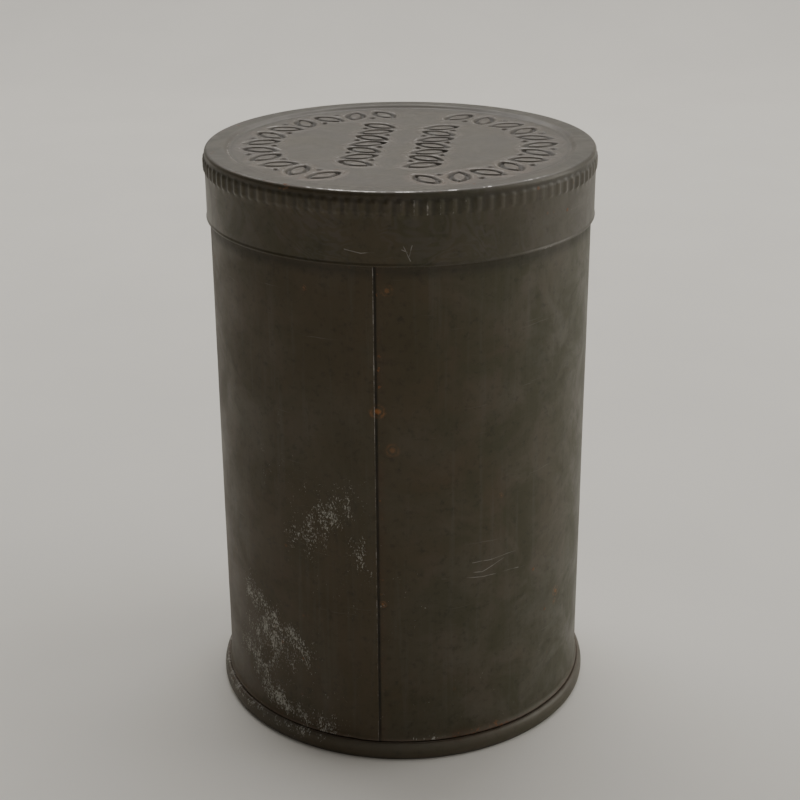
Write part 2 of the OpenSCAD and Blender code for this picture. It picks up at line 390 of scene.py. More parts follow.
def darkTinplate(name, look):
    # marks on the mesh: tone (brown to a lighter grey-green, partly painted side light), rust, speck, wear
    # (bare metal, with painted highlights), grime (dirt, with painted shade), pale (pale patina, with painted
    # light and reflection), tan
    mix = Mixer(name)
    tone = mix.mark("tone")
    broad = mix.cloud(16, 5, 0.6, 0.6)
    blotch = mix.cloud(55, 8, 0.66, 0.5)
    grain = mix.cloud(420, 6, 0.7)
    streaks = mix.cloud(1, 6, 0.62, 0.2, mix.stretched(330, 330, 14))
    fineStreaks = mix.cloud(1, 4, 0.6, 0.0, mix.stretched(1100, 1100, 30))
    flat = mix.unrolled()
    swirls = mix.sums("SINE", mix.sums("MULTIPLY", mix.cloud(30, 3, 0.5, 1.8), 80.0), 0.0)
    swirlLine = mix.times(mix.step(swirls, -0.9, 1.0), mix.step(mix.cloud(70, 3), 0.30, 0.62))

    toned = mix.plus(tone, mix.step(broad, 0.35, 0.65, -0.22, 0.22))
    colour = mix.over(toned, look["brown"], look["greyGreen"])
    greener = mix.times(mix.step(blotch, 0.36, 0.62, 0.0, 0.85), mix.step(tone, 0.05, 0.30, 0.30, 1.0))
    colour = mix.over(greener, colour, look["olive"])
    cloudy = mix.times(mix.step(mix.cloud(34, 7, 0.72, 0.9), 0.48, 0.72), mix.plus(toned, 0.15))
    colour = mix.over(mix.times(cloudy, 0.6), colour, look["greyGreen"])
    colour = mix.over(mix.times(mix.step(streaks, 0.5, 0.75), look["streak"]), colour, look["greyGreen"])
    colour = mix.over(mix.times(mix.step(grain, 0.5, 0.72), 0.45), colour, look["dark"])
    colour = mix.over(mix.times(swirlLine, look["swirl"]), colour, look["pale"])
    paleAndLitShare = mix.times(mix.mark("pale"), mix.step(blotch, 0.25, 0.7, 0.4, 1.0))
    colour = mix.over(paleAndLitShare, colour, look["pale"])
    tanShare = mix.times(mix.mark("tan"), mix.step(grain, 0.35, 0.65, 0.45, 1.0))
    colour = mix.over(tanShare, colour, look["tan"])

    # dirt and painted shade in hollows and under edges
    grime = mix.times(mix.mark("grime"), mix.step(mix.cloud(240, 6, 0.7), 0.2, 0.7, 0.55, 1.0))
    colour = mix.over(grime, colour, look["dark"])

    # rust: a stain, then freckles inside it, then scattered small pits everywhere
    rustZone = mix.mark("rust")
    stain = mix.times(rustZone, mix.step(mix.cloud(90, 8, 0.7, 0.4), 0.38, 0.66))
    colour = mix.over(mix.times(stain, 0.8), colour, look["deepRust"])
    freckle = mix.step(mix.sums("ADD", mix.cloud(520, 5, 0.75), mix.times(rustZone, 0.11)), 0.66, 0.74)
    pits = mix.times(mix.step(mix.cells(150), 0.05, 0.13, 1.0, 0.0), mix.step(mix.cloud(33, 3), 0.56, 0.66))
    rusty = mix.plus(mix.times(freckle, mix.plus(rustZone, 0.12)), mix.times(pits, 0.7))
    ragged = 1.6         # how far noise pushes a spot's edge about, mm
    crumble = mix.times(mix.cloud(900, 4, 0.8), ragged * mm)
    spots = 0.0
    for place, radius, strength in look["spots"]:
        far = mix.sums("ADD", mix.nearPoint(flat, place), crumble)
        heart, edge, halo, end = [(share * radius + ragged / 2) * mm for share in (0.2, 0.7, 1.0, 1.5)]
        core = mix.step(far, heart, edge, strength, 0.0)
        ring = mix.times(mix.step(far, edge, halo), mix.step(far, halo, end, strength, 0.0))
        ring = mix.times(ring, mix.step(mix.cloud(380, 4), 0.38, 0.62, 0.08, 0.55))
        spots = mix.plus(spots, core, ring)
    colour = mix.over(rusty, colour, look["rust"])
    colour = mix.over(spots, colour, look["orange"])
    rusty = mix.plus(rusty, spots)

    # single scratches, then hairlines that run every way
    scratched = 0.0
    wander = mix.tree.nodes.new("ShaderNodeTexNoise")
    wander.inputs["Scale"].default_value = 75
    wander.inputs["Detail"].default_value = 2
    mix.feed(wander.inputs["Vector"], flat)
    sway = mix.vector("SUBTRACT", wander.outputs["Color"], (0.5, 0.5, 0.5))
    bent = mix.vector("ADD", flat, mix.vector("SCALE", sway, scale=2.6 * mm))
    for start, end in look["scratches"]:
        far = mix.nearLine(bent, start, end)
        line = mix.step(far, 0.03 * mm, 0.22 * mm, 1.0, 0.0)
        cut = mix.times(line, mix.step(mix.cloud(420, 4), 0.26, 0.48))
        scratched = mix.sums("MAXIMUM", scratched, cut)
    for angle, seed in ((0.5, 3.0), (-0.9, 7.0), (1.9, 11.0)):
        moved = mix.vector("ADD", bent, (seed, seed, 0))
        lines = mix.cloud(1, 2, 0.5, 0.0, mix.stretched(30, 1300, 1, (0, 0, angle), moved))
        hair = mix.times(mix.step(lines, 0.68, 0.78), mix.step(mix.cloud(60 + seed, 3), 0.48, 0.66))
        scratched = mix.sums("MAXIMUM", scratched, mix.times(hair, 0.28))
    colour = mix.over(mix.times(scratched, 0.50), colour, look["bareMetalAndGlint"])

    # rubbed bare metal and painted highlights on edges, broken up by fine noise
    wearAndHighlightMark = mix.mark("wear")
    rubbedAndHighlight = mix.step(mix.sums("ADD", wearAndHighlightMark, mix.times(mix.cloud(300, 7, 0.75), 0.9)), 0.95, 1.18)
    colour = mix.over(rubbedAndHighlight, colour, look["bareMetalAndGlint"])

    # pale worn specks in patches, drawn a little longer upright
    speckMark = mix.mark("speck")
    fineSpecks = mix.cloud(1, 4, 0.75, 0.0, mix.stretched(1700, 900, 1, (0, 0, 0), flat))
    speckGroups = mix.cloud(1, 4, 0.7, 0.0, mix.stretched(240, 130, 1, (0, 0, 0.2), flat))
    speckField = mix.sums("ADD", fineSpecks, mix.times(speckGroups, 0.62))
    specks = mix.times(
        mix.step(mix.sums("ADD", speckField, mix.times(speckMark, 0.24)), 1.06, 1.14),
        mix.step(speckMark, 0.02, 0.25),
    )
    colour = mix.over(mix.times(specks, 0.85), colour, look["speck"])

    rough = mix.plus(
        mix.step(blotch, 0.3, 0.7, look["rough"] - 0.07, look["rough"] + 0.09),
        mix.times(rusty, 0.3), mix.times(specks, 0.3), mix.times(grime, 0.2),
    )
    rough = mix.sums("SUBTRACT", rough, mix.times(rubbedAndHighlight, 0.12), clamp=True)
    metal = mix.times(mix.sums("SUBTRACT", 1.0, mix.plus(rusty, specks, grime), clamp=True),
                      mix.plus(look["metal"], mix.times(rubbedAndHighlight, 0.5)))
    raised = mix.sums("SUBTRACT", mix.plus(rusty, specks), mix.times(scratched, 0.6))
    mix.relief((fineStreaks, 0.012), (grain, 0.02), (raised, 0.05), (blotch, 0.05))
    return mix.finish(colour, rough, metal)


wallFinish = darkTinplate("wallFinish", {
    **patina, "pale": (0.11, 0.105, 0.085), "streak": 0.40, "swirl": 0.0, "rough": 0.50, "metal": 0.22,
    "spots": wallSpots, "scratches": wallScratches})
lidFinish = darkTinplate("lidFinish", {
    **patina, "pale": patina["lidGreyAndSheen"], "streak": 0.08, "swirl": 0.36, "rough": 0.40, "metal": 0.35,
    "spots": (), "scratches": skirtScratches})
endFinish = darkTinplate("endFinish", {
    **patina, "pale": (0.12, 0.108, 0.086), "streak": 0.05, "swirl": 0.0, "rough": 0.46, "metal": 0.3,
    "spots": (), "scratches": ()})


def solderFinish():
    mix = Mixer("solderFinish")
    body = mix.cloud(140, 6, 0.65, 0.3)
    dull = mix.cloud(900, 5, 0.7)
    colour = mix.over(mix.step(body, 0.3, 0.7), (0.10, 0.095, 0.085), (0.28, 0.27, 0.25))
    colour = mix.over(mix.times(mix.step(dull, 0.55, 0.7), 0.6), colour, (0.04, 0.035, 0.03))
    mix.relief((body, 0.2), (dull, 0.03))
    return mix.finish(colour, mix.step(dull, 0.3, 0.7, 0.38, 0.6), 0.75)


def compoundFinish():
    mix = Mixer("compoundFinish")
    crust = mix.cloud(260, 7, 0.7)
    colour = mix.over(mix.step(crust, 0.35, 0.7), (0.010, 0.009, 0.008), (0.035, 0.031, 0.026))
    mix.relief((crust, 0.12))
    return mix.finish(colour, mix.step(crust, 0.3, 0.7, 0.6, 0.85))


def cardFinish():
    mix = Mixer("cardFinish")
    fibres = mix.cloud(1, 5, 0.6, 0.8, mix.stretched(420, 900, 900, (0, 0, 0.5)))
    stains = mix.cloud(38, 6, 0.6, 0.7)
    wax = mix.cloud(150, 4, 0.6)
    ring = mix.mark("stain")
    colour = mix.over(mix.step(fibres, 0.3, 0.7), (0.19, 0.125, 0.062), (0.30, 0.215, 0.12))
    colour = mix.over(mix.times(mix.step(stains, 0.48, 0.66), 0.6), colour, (0.10, 0.055, 0.024))
    colour = mix.over(mix.times(ring, 0.75), colour, (0.055, 0.032, 0.018))
    mix.relief((fibres, 0.05), (wax, 0.05))
    return mix.finish(colour, mix.step(wax, 0.35, 0.65, 0.42, 0.68))


print("finishes mixed")


# wall

wall = {
    "sheet": 0.3,          # thickness of the tinplate, mm
    "seamAngle": -97.5,    # outer edge of the lap, degrees from +X
    "lapWidth": 6.0,
    "stepWidth": 3.0,
    "film": 0.12,          # solder in the lap
    "topRoll": 0.95,       # to the middle of the sheet
    "footRadius": 1.2,
    "dents": 0.10,
    "flare": 0.80,         # where the wall spreads over the bottom seam
    "flareZ": 6.75,        # height of the spread's middle
    "lapGroove": 0.16,     # at the foot of the lap's edge
    "outerTurn": 0.45,     # bend between the wall's flange and its hook
    "endGap": 0.05,        # between the wall and the bottom's upright
    "hookGap": 0.1,
    "hookTop": 4.4,        # how high the wall's hook reaches inside the seam
    "seamHeight": 6.5,     # of the rolled bottom seam
    "hemShadowLine": 176.8,     # painted shadow just under the lid's hem
}
wallHigh = boxOf("body_sheet")[1]
endHigh = boxOf("bottom_end")[1]
lidHigh = boxOf("lid_cover")[1]
linerLow, linerHigh = boxOf("lid_liner")


def wallRun():
    half = wall["sheet"] / 2
    mid = wallOut - half
    top = wallHigh[2]
    rollZ = top - half - wall["topRoll"]
    footMid = mid - half - wall["endGap"] - half + wall["footRadius"]
    footZ = half + wall["footRadius"]
    inner = footMid - mid
    seamMid = endHigh[0] - half
    rollMid = (seamMid + wallOut + wall["hookGap"] + half) / 2
    turn = wall["outerTurn"]
    turnZ = footZ - inner + turn
    # rows stand closest where the wall spreads over the bottom seam
    upright, level = [], rollZ
    for low, spacing in ((13.0, 3.0), (8.2, 0.6), (5.8, 0.2), (footZ, 1.5)):
        upright += linePoints((mid, level), (mid, low), spacing)
        level = low
    return joined(
        arcPoints((mid - wall["topRoll"], rollZ), wall["topRoll"], 290, 0, 16),
        upright,
        arcPoints((footMid, footZ), inner, 180, 270, 5),
        arcPoints((rollMid - turn, turnZ), turn, 270, 360, 5),
        linePoints((rollMid, turnZ), (rollMid, wall["hookTop"]), 1.5),
    )


def wallAngles():
    lap = math.degrees(wall["lapWidth"] / wallOut)
    step = math.degrees(wall["stepWidth"] / wallOut)
    seam = wall["seamAngle"]
    # columns in degrees from the lap's edge, closest together there
    right = [0, 0.12, 0.28, 0.45, 0.65, 0.9, 1.6, 2.4]
    around = list(np.arange(3.2, 360 - lap - step - 0.6, 0.9))
    ramp = [360 - lap - step + step * i / 6 for i in range(7)]
    outer = [360 - lap + lap * i / 6 for i in range(1, 6)] + [360 - 0.45, 360 - 0.2, 360 - 0.05, 360 - 0.0005]
    return np.radians(seam + np.array(right + around + ramp + outer))


def lapLift(theta, z):
    # how far the wall's outside stands out over the lap, mm
    lap = math.degrees(wall["lapWidth"] / wallOut)
    step = math.degrees(wall["stepWidth"] / wallOut)
    turn = -(turnOf(theta, wall["seamAngle"]))
    turn = np.where(turn < -1e-7, turn + 360, turn)
    lift = np.where(turn <= lap, 1.0, 1.0 - smooth(turn, lap, lap + step))
    lift = np.where(turn > 180, 0.0, lift)
    low = wall["seamHeight"] + 0.3
    window = smooth(z, low - 0.25, low + 0.15) * (1 - smooth(z, wallHigh[2] - 4.5, wallHigh[2] - 3.0))
    return lift * (wall["sheet"] + wall["film"]) * window


def makeWall():
    run = wallRun()
    half = wall["sheet"] / 2
    left = offsetLine(run, half)
    right = offsetLine(run, -half)
    outline = np.vstack([left, right[::-1]])
    straight = (np.abs(np.array(run)[:, 0] - (wallOut - half)) < 1e-3)
    isStraight = np.concatenate([straight, straight[::-1]])
    middle = np.concatenate([left, right[::-1]])[:, 0]

    def shape(r, z, theta, row):
        outside = isStraight[row] & (middle[row] > wallOut - half)
        seamFade = smooth(z, 7, 22) * (1 - smooth(z, 186, 196))
        dents = coarseNoise(theta, z, wallOut, 46, 3) + 0.5 * coarseNoise(theta, z, wallOut, 18, 8)
        r = r + wall["dents"] * dents * seamFade * isStraight[row]
        r = r + wall["flare"] * bump(z, wall["flareZ"], 1.1) * smooth(z, 6.0, 6.7) * isStraight[row]
        r = r + lapLift(theta, z) * outside
        turn = turnOf(theta, wall["seamAngle"])
        groove = bump(turn, 0.3, 0.22) * (turn >= 0)
        r = r - wall["lapGroove"] * groove * outside * smooth(z, 7, 9)
        return r, z

    def marks(r, z, theta, row):
        outside = isStraight[row] & (middle[row] > wallOut - half)
        inside = ~outside
        turn = turnOf(theta, -90)          # 0 at the front, positive to the right
        seamTurn = turnOf(theta, wall["seamAngle"])

        # brown to the left, lighter grey-green to the right: partly patina colour, partly painted light
        # falling from the right
        tone = 0.08 + 0.50 * smooth(turn, -10, 62) + 0.15 * smooth(turn, 45, 85)
        tone = towardBack(turn, tone, 0.45)

        # rust beside the lap, along the foot, and a faint stain low on the left
        rust = 0.50 * bump(seamTurn, 1.4, 1.3) * (seamTurn > 0) + 0.22 * bump(z, 8, 3)
        rust = rust + 0.95 * patch(turn, z, (16, 7.2), (33, 6.9), 1.5)
        rust = rust + towardBack(turn, 0.22 * smooth(-turn, 0, 30), 0) * (1 - smooth(z, 30, 130))
        rust = rust + 0.8 * bump(seamTurn, 1.1, 0.4) * (0.35 + 0.65 * smooth(z, 100, 130))

        speck = np.zeros_like(z)
        for strength, start, finish, width in speckPatches:
            speck = speck + strength * patch(turn, z, start, finish, width)

        # painted shadow at the foot of the lap's edge and under the lid's hem, and painted shade with dirt in
        # the crease at the very bottom
        lapEdgeShadow = (seamTurn >= 0) * (1 - smooth(seamTurn, 0.45, 0.95 - 0.2 * smooth(z, 60, 150)))
        grime = lapEdgeShadow + 0.15 * (1 - smooth(z, 6.2, 6.8)) + 0.65 * bump(z, wall["hemShadowLine"], 1.8)

        # worn bare metal with a painted highlight on the lap's edge, dry dust over the bottom seam, a painted
        # sheen down the right side
        wear = (0.60 + 0.10 * smooth(z, 60, 150)) * bump(seamTurn, -0.16, 0.18) * outside
        tan = 0.55 * bump(z, 6.8, 0.6) * outside
        pale = towardBack(turn, 0.40 * smooth(turn, 66, 80), 0)
        return {
            "tone": tone, "rust": np.where(inside, 0.25, rust), "speck": np.where(inside, 0, speck),
            "grime": np.where(inside, 0.0, grime), "wear": wear, "pale": np.where(inside, 0.55, pale),
            "tan": tan,
        }

    piece = spunPiece("wall_sheet", outline, wallAngles(), shape, marks)
    piece.data.materials.append(wallFinish)
    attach(piece, "tin")
    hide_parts("body_sheet")


makeWall()
print("wall made")


# solder in the side lap

solder = {"fillet": 2.6, "height": 0.38, "ripple": 0.12, "overlap": 0.05, "depth": 0.18}


def makeSolder():
    # a thin rippled bead along the inside of the lap, thickest in the step
    low, high = wall["seamHeight"] + 1.5, wallHigh[2] - 4
    lap = math.degrees(wall["lapWidth"] / wallOut)
    centre = math.radians(wall["seamAngle"] - lap)
    across = 9
    along = 120
    inside = wallOut - wall["sheet"]
    places = []
    for i in range(along + 1):
        z = low + (high - low) * i / along
        ripple = noise.noise(Vector((0, 3.1, z / 5)))
        width = solder["fillet"] * (1 + 0.18 * ripple) * (0.35 + 0.65 * math.sin(math.pi * i / along) ** 0.2)
        for j in range(across):
            u = j / (across - 1) * 2 - 1
            lift = (1 - u * u) * (solder["height"] + solder["ripple"] * noise.noise(Vector((u, z / 3, 7))))
            a = centre + u * width / wallOut
            r = inside + solder["overlap"] - lift
            places.append((r * math.cos(a) * mm, r * math.sin(a) * mm, z * mm))
        for j in range(across):
            u = 1 - j / (across - 1) * 2
            a = centre + u * width / wallOut
            r = inside + solder["depth"]
            places.append((r * math.cos(a) * mm, r * math.sin(a) * mm, z * mm))
    ring = across * 2
    faces = [[i * ring + j, i * ring + (j + 1) % ring, (i + 1) * ring + (j + 1) % ring, (i + 1) * ring + j]
             for i in range(along) for j in range(ring)]
    faces.append(list(range(ring))[::-1])
    faces.append([along * ring + j for j in range(ring)])
    mesh = bpy.data.meshes.new("side_seam_bead")
    mesh.from_pydata(places, [], faces)
    mesh.update()
    piece = bpy.data.objects.new("side_seam_bead", mesh)
    bpy.context.scene.collection.objects.link(piece)
    setNormals(piece)
    piece.data.materials.append(solderFinish())
    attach(piece, "tin")
    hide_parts("side_seam_solder")


makeSolder()
print("solder made")


# bottom end with its rolled seam

end = {
    "panelZ": 5.2, "panelRadius": 49, "panelUp": 1.0, "dropRadius": 1.0,
    "hookDepth": 3.0, "seamOut": 2.75,
    "wave": 0.10, "round": 0.75, "lipWave": 0.16, "dish": 0.25, "buckle": 0.10,
}


def makeEnd():
    half = wall["sheet"] / 2
    chuck = wallOut - wall["sheet"] - wall["endGap"] - half
    footR = wall["footRadius"]
    footZ = half + footR
    seamMid = wallOut + end["seamOut"] - half
    hookMid = wallOut + wall["hookGap"] + half
    rollR = (seamMid - hookMid) / 2
    rollMid = (seamMid + hookMid) / 2
    rollZ = wall["seamHeight"] - half - rollR
    ringZ = end["panelZ"] - end["panelUp"]
    run = joined(
        linePoints((0, end["panelZ"]), (end["panelRadius"] - 0.5, end["panelZ"]), 6),
        [(end["panelRadius"] + 0.3, end["panelZ"] - 0.2), (end["panelRadius"] + 1.3, end["panelZ"] - 0.8),
         (end["panelRadius"] + 2.1, ringZ)],
        linePoints((end["panelRadius"] + 2.1, ringZ), (chuck - end["dropRadius"], ringZ), 3),
        arcPoints((chuck - end["dropRadius"], ringZ - end["dropRadius"]), end["dropRadius"], 90, 0, 6),
        arcPoints((chuck + footR, footZ), footR, 180, 270, 8),
        arcPoints((seamMid - footR, footZ), footR, 270, 360, 8),
        linePoints((seamMid, footZ), (seamMid, rollZ), 0.8),
        arcPoints((rollMid, rollZ), rollR, 0, 180, 12),
        linePoints((hookMid, rollZ), (hookMid, wall["seamHeight"] - end["hookDepth"] - half), 0.8),
    )
    left = offsetLine(run, half)
    right = offsetLine(run, -half)
    outline = np.vstack([left, right[::-1]])

    def shape(r, z, theta, row):
        rim = smooth(r, 66.2, 67.4)
        r = r - end["round"] * ((z - 2.9) / 3.3) ** 2 * smooth(r, 66.6, 67.3)
        level = np.zeros_like(z)
        wave = coarseNoise(theta, level, wallOut, 22, 5) + 0.5 * coarseNoise(theta, level, wallOut, 8, 6)
        r = r - end["wave"] * np.abs(wave) * rim
        lip = smooth(z, 3.5, 6.0) * smooth(r, 65.2, 66.0)
        z = z - end["lipWave"] * np.abs(wave) * lip
        # the panel is very slightly dished and buckled
        panel = 1 - smooth(r, 30, 48)
        buckle = coarseNoise(theta, r, 40, 30, 9) * smooth(r, 2, 20) * (1 - smooth(r, 46, 58))
        z = z + end["dish"] * panel + end["buckle"] * buckle
        return r, z

    def marks(r, z, theta, row):
        # rubbed bright along the roll's top and foot, chipped on the left, dusty where the wall enters
        turn = turnOf(theta, -90)
        seen = r > 65.2
        lip = bump(z, 5.9, 0.8) * smooth(r, 65.6, 66.2)
        broken = 0.5 + 0.5 * coarseNoise(theta, np.zeros_like(z), wallOut, 14, 12)
        wear = lip * (0.16 + 0.32 * broken) + 0.22 * bump(z, 0.3, 0.5) * seen
        # brown to a lighter grey-green toward the right: partly patina colour, partly painted light from that
        # side
        tone = towardBack(turn, 0.12 + 0.42 * smooth(turn, -10, 60), 0.4)
        rust = np.where(seen, 0.16 + 0.45 * bump(turn, 24, 14) * smooth(z, 5.0, 6.0), 0.6)
        # darker toward the floor
        grime = np.where(seen, 0.35 * (1 - smooth(z, 0.2, 2.2)), 0.1)
        chipped = 0.60 * smooth(-turn, 12, 24) * smooth(z, 3.0, 5.2) + 0.30 * smooth(-turn, 10, 40)
        speck = np.where(seen, towardBack(turn, chipped, 0), 0)
        under = (r < 64) & (row < len(outline) // 2)
        # paler toward the roll's top: painted light on its upper face
        pale = np.where(seen, 0.20 + 0.40 * smooth(z, 2.5, 5.5), np.where(under, 0.45, 0.5))
        tan = 0.5 * smooth(z, 5.4, 6.1) * smooth(r, 65.2, 65.5) * (1 - smooth(r, 66.3, 67.0))
        return {
            "tone": tone, "rust": rust, "speck": speck, "grime": grime, "wear": wear,
            "pale": pale, "tan": tan,
        }

    piece = spunPiece("bottom_disc", outline, np.radians(np.arange(0, 360, 1.0)), shape, marks)
    piece.data.materials.append(endFinish)
    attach(piece, "tin")
    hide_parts("bottom_end")


makeEnd()
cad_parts["seam_compound"].data.materials.clear()
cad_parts["seam_compound"].data.materials.append(compoundFinish())
print("bottom made")


# lid

lid = {
    "sheet": 0.3, "height": 23.4, "corner": 1.3, "ringWidth": 6.2, "slip": 0.25,
    "panelDrop": 1.0, "stepHalf": 1.1,
    "hemHeight": 1.1, "hemOut": 0.22, "beadDown": 4.8, "beadHeight": 5.4, "beadOut": 0.25,
    "ribs": 104, "ribOut": 0.42, "ribHeight": 5.0, "columnsPerRib": 8, "ringStep": 0.36,
    "sag": 0.10, "outOfTrue": 0.07, "ding": 0.35,
}
ornament = {
    "leafLength": 13.6, "leafWidth": 7.4, "groove": 1.8, "depth": 0.8, "lean": 24,
    "berry": 1.2, "berryOff": 4.6, "wreathIn": 11.4, "sprays": ((97, 239), (-80, 63)), "sprayLeaves": 12,
    "rowLeaves": 7, "rowStep": 9.0, "rowGap": 22, "rowTurn": -8, "ridge": 0.17, "ridgeAt": 1.35,
}
skirtMid = wallOut + wall["sheet"] + wall["film"] + lid["slip"] + lid["sheet"] / 2
lidTop = lidHigh[2] - lid["sheet"] / 2
panelZ = lidTop - lid["panelDrop"]
panelR = skirtMid + lid["sheet"] / 2 - lid["corner"] - lid["ringWidth"]


def leafPlaces():
    # leaves as (x, y, degrees) and berries as (x, y)
    wreath = panelR - ornament["wreathIn"]
    leaves, berries = [], []
    last = ornament["sprayLeaves"] - 1
    for low, high in ornament["sprays"]:
        pitch = (high - low) / last
        for i in range(last + 1):
            way = 1 if i % 2 == 0 else -1
            a = math.radians(low + pitch * i)
            heading = low + pitch * i + way * ornament["lean"]
            leaves.append((wreath * math.cos(a), wreath * math.sin(a), heading))
            between = a + math.radians(pitch / 2)
            out = wreath - way * ornament["berryOff"]
            if i < last:
                berries.append((out * math.cos(between), out * math.sin(between)))
    turn = math.radians(ornament["rowTurn"])
    last = ornament["rowLeaves"] - 1

    def turned(x, y):
        return x * math.cos(turn) - y * math.sin(turn), x * math.sin(turn) + y * math.cos(turn)

    for k in (-1, 1):
        for i in range(last + 1):
            way = (1 if i % 2 == 0 else -1) * k
            x = k * ornament["rowGap"] / 2
            y = (i - last / 2) * ornament["rowStep"]
            leaves.append((*turned(x, y), ornament["rowTurn"] + way * ornament["lean"]))
            if i < last:
                berries.append(turned(x - way * ornament["berryOff"], y + ornament["rowStep"] / 2))
    return leaves, berries


def ornamentField(x, y):
    # distances to the nearest leaf's outline (negative inside) and to the nearest berry's middle
    length, width = ornament["leafLength"], ornament["leafWidth"]
    radius = (length ** 2 / 4 + width ** 2 / 4) / width
    off = radius - width / 2
    leafFar = np.full(len(x), 99.0)
    berryFar = np.full(len(x), 99.0)
    leaves, berries = leafPlaces()
    for px, py, angle in leaves:
        a = math.radians(angle)
        near = np.flatnonzero((x - px) ** 2 + (y - py) ** 2 < (length * 0.5 + 5) ** 2)
        dx, dy = x[near] - px, y[near] - py
        u = dx * math.cos(a) + dy * math.sin(a)
        v = -dx * math.sin(a) + dy * math.cos(a)
        d = np.maximum(np.hypot(u, v + off), np.hypot(u, v - off)) - radius
        leafFar[near] = np.minimum(leafFar[near], d)
    for px, py in berries:
        berryFar = np.minimum(berryFar, np.hypot(x - px, y - py))
    return leafFar, berryFar


def pressDepth(d, berry):
    # height of the pressed metal: grooves along the leaves, a low ridge round them, domed middles,
    # round dimples
    half = ornament["groove"] / 2
    groove = 1 - smooth(np.abs(d + half), half * 0.50, half * 1.10)
    ridge = bump(d, ornament["ridgeAt"], 0.75)
    island = smooth(-d, ornament["groove"], ornament["groove"] + 0.7)
    dimple = 1 - smooth(berry, ornament["berry"] * 0.5, ornament["berry"] * 1.3)
    deep = np.maximum(groove, dimple * 0.8)
    return -ornament["depth"] * deep + ornament["ridge"] * ridge * (1 - deep) + 0.10 * island


def lidOutside():
    ringEnd = skirtMid - lid["corner"]
    bead = lid["beadHeight"] / 2
    beadZ = lidHigh[2] - lid["beadDown"]
    low = lidHigh[2] - lid["height"]
    slope = [(panelR + lid["stepHalf"] * s, panelZ + lid["panelDrop"] * float(smooth(s, -1, 1)))
             for s in np.linspace(-1, 1, 9)]
    beadLine = [(skirtMid + lid["beadOut"] * float(1 - smooth(abs(s), 0.45, 1)), beadZ - bead * s)
                for s in np.linspace(-1, 1, 17)]
    return joined(
        [(0, panelZ), (1.5, panelZ)],
        linePoints((3.0, panelZ), (panelR - lid["stepHalf"], panelZ), lid["ringStep"]),
        slope,
        linePoints((panelR + lid["stepHalf"], lidTop), (ringEnd, lidTop), 0.9),
        arcPoints((ringEnd, lidTop - lid["corner"]), lid["corner"], 90, 0, 8),
        beadLine,
        linePoints((skirtMid, beadZ - bead), (skirtMid, low + 2), 1.4),
        linePoints((skirtMid, low + 2), (skirtMid, low + 0.2), 0.2),
    )


def lidInside():
    # from the hem's turned end back up and in to the centre
    outside = lidOutside()
    firstHem = next(i for i, p in enumerate(outside) if p[1] < lidTop - 3)
    below = outside[firstHem:]
    ringEnd = skirtMid - lid["corner"]
    flat = panelZ - ornament["depth"] - 0.05
    inner = [(0, flat), (12, flat), (24, flat), (36, flat), (48, flat), (panelR - 2.4, flat),
             (panelR - lid["stepHalf"], panelZ), (panelR + lid["stepHalf"], lidTop), (ringEnd, lidTop)]
    inner = joined(inner, arcPoints((ringEnd, lidTop - lid["corner"]), lid["corner"], 90, 0, 4), below)
    return inner


